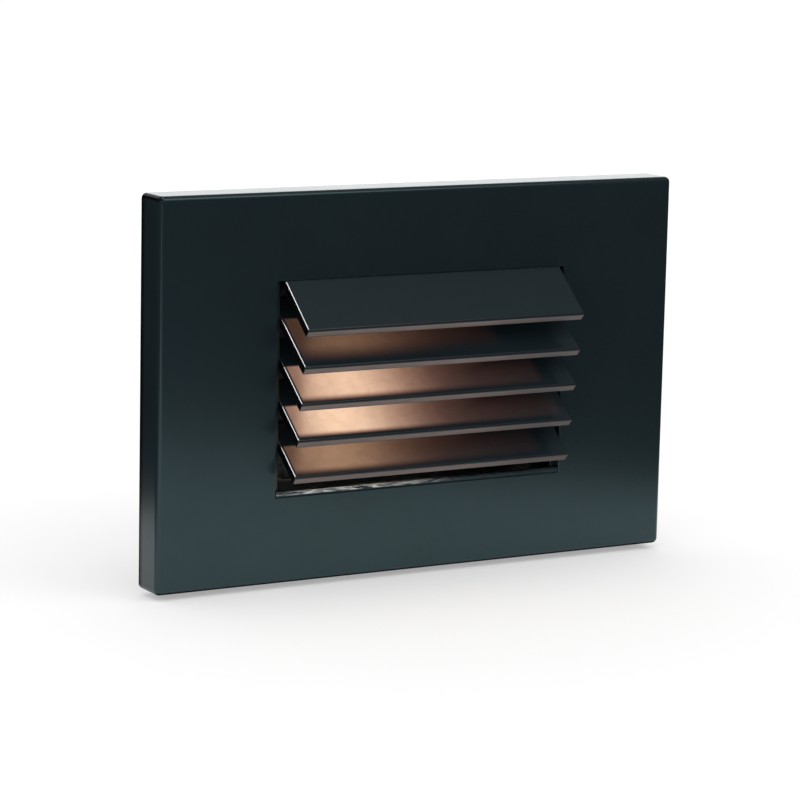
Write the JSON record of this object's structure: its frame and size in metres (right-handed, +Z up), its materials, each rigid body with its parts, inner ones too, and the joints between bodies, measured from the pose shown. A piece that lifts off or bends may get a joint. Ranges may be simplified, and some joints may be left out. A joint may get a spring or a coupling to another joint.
{
  "type": "step light",
  "caption": "Rectangular step light for a device box in a wall, with a hooded louver that throws its light down, a face cover on a bracket and a sealed can behind.",
  "frame": {"origin": "on the wall's face, midway between the two box screws", "axes": "X to the right of someone who faces the light, Y into the wall, Z up"},
  "size_m": [0.127, 0.0594, 0.084],
  "materials": {
    "cover_paint": "smooth semi-gloss blue-black coat on cast aluminium",
    "blade_paint": "smooth semi-gloss blue-black coat on sheet",
    "bracket_zinc": "bright zinc-plated sheet steel",
    "screw_steel": "zinc-plated steel",
    "black_oxide": "black oxide steel",
    "ground_green": "green passivated steel",
    "housing_cast": "die-cast aluminium, as cast",
    "foam_black": "closed-cell foam",
    "seal_silicone": "translucent grey silicone",
    "bush_rubber": "moulded black rubber",
    "frosted_pane": "frosted glass",
    "spring_steel": "bright spring steel",
    "reflector_white": "white polycarbonate",
    "lamp_board_white": "white solder mask on aluminium board",
    "chip_phosphor": "yellow phosphor in a white package",
    "thermal_pad_grey": "grey silicone pad",
    "lead_red": "red insulation",
    "lead_black": "black insulation",
    "insulator_film": "white polyester film",
    "driver_board_green": "green solder mask on glass-fibre board",
    "capacitor_sleeve": "dark blue shrink sleeve with a bare aluminium end",
    "film_capacitor_case": "yellow epoxy-filled case",
    "ferrite": "dark grey ferrite",
    "winding_tape": "amber tape over copper wire",
    "chip_black": "black moulding compound",
    "resistor_body": "pale green ceramic coat"
  },
  "bodies": {
    "wall_unit": {"mounting_bracket": "bracket_zinc", "wall_gasket": "foam_black", "box_screws": "screw_steel", "ground_screw": "ground_green", "housing": "housing_cast", "housing_screws": "screw_steel", "lens": "frosted_pane", "lens_gasket": "seal_silicone", "lens_retainer": "black_oxide", "thermal_pad": "thermal_pad_grey", "led_board": "lamp_board_white", "led_chips": "chip_phosphor", "led_board_screws": "screw_steel", "reflector": "reflector_white", "led_lead_positive": "lead_red", "led_lead_negative": "lead_black", "deck_grommet": "bush_rubber", "insulator_sheet": "insulator_film", "driver_board": "driver_board_green", "driver_board_screws": "screw_steel", "electrolytic_capacitor": "capacitor_sleeve", "film_capacitor": "film_capacitor_case", "transformer_core": "ferrite", "transformer_winding": "winding_tape", "bridge_rectifier": "chip_black", "control_chip": "chip_black", "fusible_resistor": "resistor_body", "rear_gasket": "foam_black", "rear_cover": "housing_cast", "rear_cover_screws": "screw_steel", "supply_grommet": "bush_rubber"},
    "cover_unit": {"cover": "cover_paint", "hood_blade": "blade_paint", "louver_blade_2": "blade_paint", "louver_blade_3": "blade_paint", "louver_blade_4": "blade_paint", "louver_blade_5": "blade_paint", "louver_cheek_left": "blade_paint", "louver_cheek_right": "blade_paint", "louver_clips": "spring_steel"},
    "left_set_screw": {"set_screw_left": "black_oxide"},
    "right_set_screw": {"set_screw_right": "black_oxide"}
  },
  "joints": [
    {"name": "cover_lift", "type": "slide", "parent": "wall_unit", "child": "cover_unit", "axis": [0, -1, 0], "range_m": [0, 0.04]},
    {"name": "left_set_screw_travel", "type": "slide", "parent": "cover_unit", "child": "left_set_screw", "axis": [0, 0, -1], "range_m": [0, 0.003]},
    {"name": "right_set_screw_travel", "type": "slide", "parent": "cover_unit", "child": "right_set_screw", "axis": [0, 0, -1], "range_m": [0, 0.003]}
  ]
}
